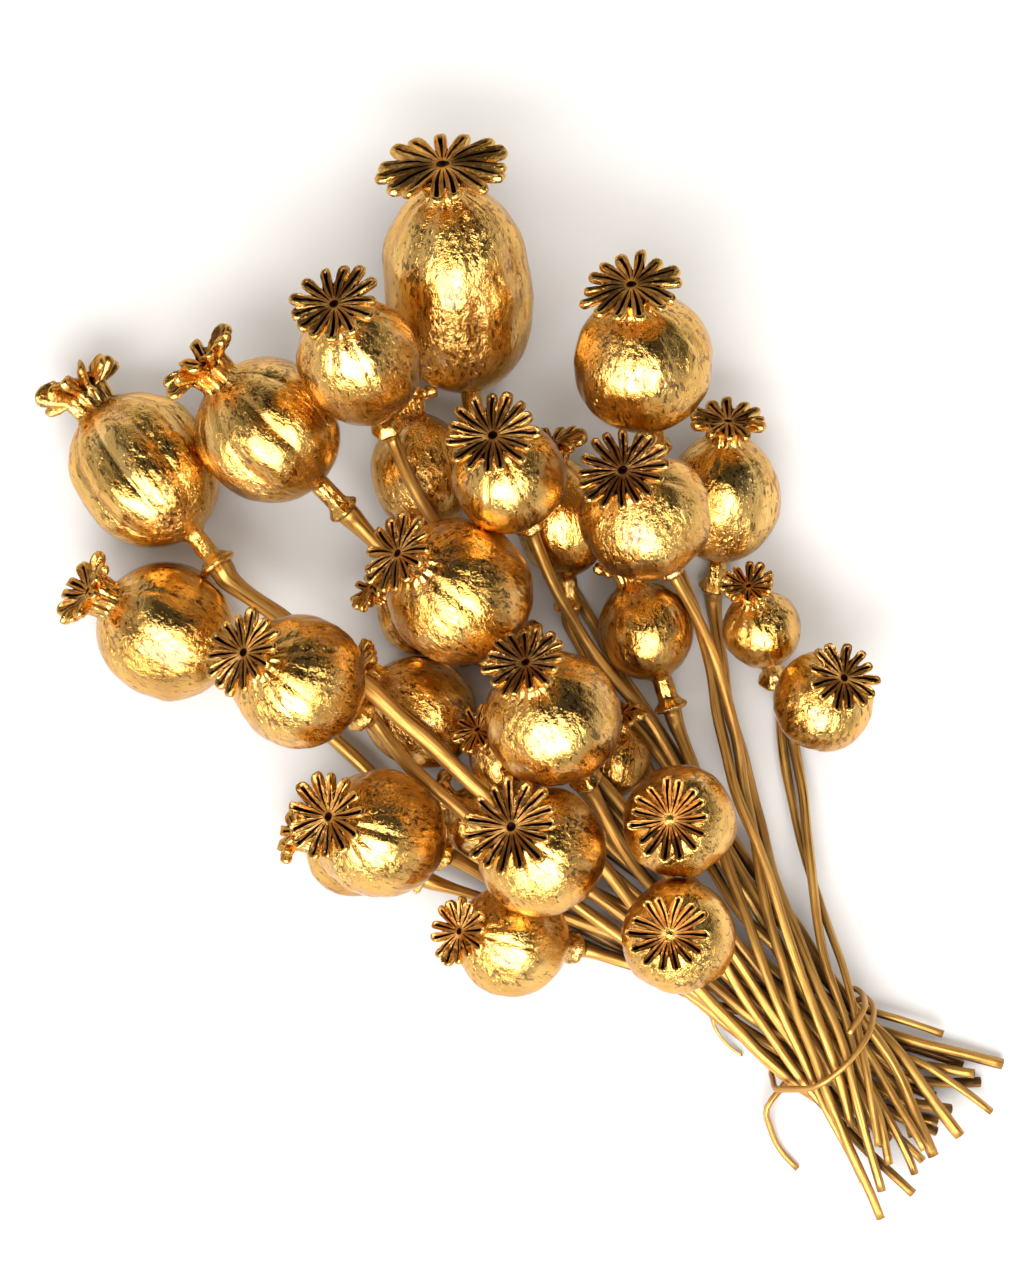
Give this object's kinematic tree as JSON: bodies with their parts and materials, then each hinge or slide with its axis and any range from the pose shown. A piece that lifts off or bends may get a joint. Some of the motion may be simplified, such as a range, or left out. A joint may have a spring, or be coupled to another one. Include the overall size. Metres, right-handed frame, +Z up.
{
  "type": "tied bunch of gilded poppy seed heads",
  "caption": "Tied bunch of dried, gilded poppy seed heads on their stems, lying on its side: ribbed capsules with rayed crowns fan out from a thin strand near the cut ends.",
  "frame": {"origin": "on the surface the bunch lies on, under the middle of its outline seen from above", "axes": "+Z up from the surface, +Y towards the largest head, +X towards the side of the tie's cut ends"},
  "size_m": [0.2528, 0.284, 0.0803],
  "materials": {
    "gold_leaf": "crinkled gold leaf over a ribbed dry capsule, bright, with brown pits and darker crowns",
    "gilded_stem": "satin gold paint on finely ridged dry stems",
    "strand": "satin gold paint on a thin dry strand"
  },
  "bodies": {
    "root": {"seed_head_01": "gold_leaf", "seed_head_02": "gold_leaf", "seed_head_03": "gold_leaf", "seed_head_04": "gold_leaf", "seed_head_05": "gold_leaf", "seed_head_06": "gold_leaf", "seed_head_07": "gold_leaf", "seed_head_08": "gold_leaf", "seed_head_09": "gold_leaf", "seed_head_10": "gold_leaf", "seed_head_11": "gold_leaf", "seed_head_12": "gold_leaf", "seed_head_13": "gold_leaf", "seed_head_14": "gold_leaf", "seed_head_15": "gold_leaf", "seed_head_16": "gold_leaf", "seed_head_17": "gold_leaf", "seed_head_18": "gold_leaf", "seed_head_19": "gold_leaf", "seed_head_20": "gold_leaf", "seed_head_21": "gold_leaf", "seed_head_22": "gold_leaf", "seed_head_23": "gold_leaf", "seed_head_24": "gold_leaf", "seed_head_25": "gold_leaf", "seed_head_26": "gold_leaf", "seed_head_27": "gold_leaf", "seed_head_28": "gold_leaf", "stem_01": "gilded_stem", "stem_02": "gilded_stem", "stem_03": "gilded_stem", "stem_04": "gilded_stem", "stem_05": "gilded_stem", "stem_06": "gilded_stem", "stem_07": "gilded_stem", "stem_08": "gilded_stem", "stem_09": "gilded_stem", "stem_10": "gilded_stem", "stem_11": "gilded_stem", "stem_12": "gilded_stem", "stem_13": "gilded_stem", "stem_14": "gilded_stem", "stem_15": "gilded_stem", "stem_16": "gilded_stem", "stem_17": "gilded_stem", "stem_18": "gilded_stem", "stem_19": "gilded_stem", "stem_20": "gilded_stem", "stem_21": "gilded_stem", "stem_22": "gilded_stem", "stem_23": "gilded_stem", "stem_24": "gilded_stem", "stem_25": "gilded_stem", "stem_26": "gilded_stem", "stem_27": "gilded_stem", "stem_28": "gilded_stem", "tie_strand": "strand", "loose_fibre": "strand"}
  },
  "joints": []
}
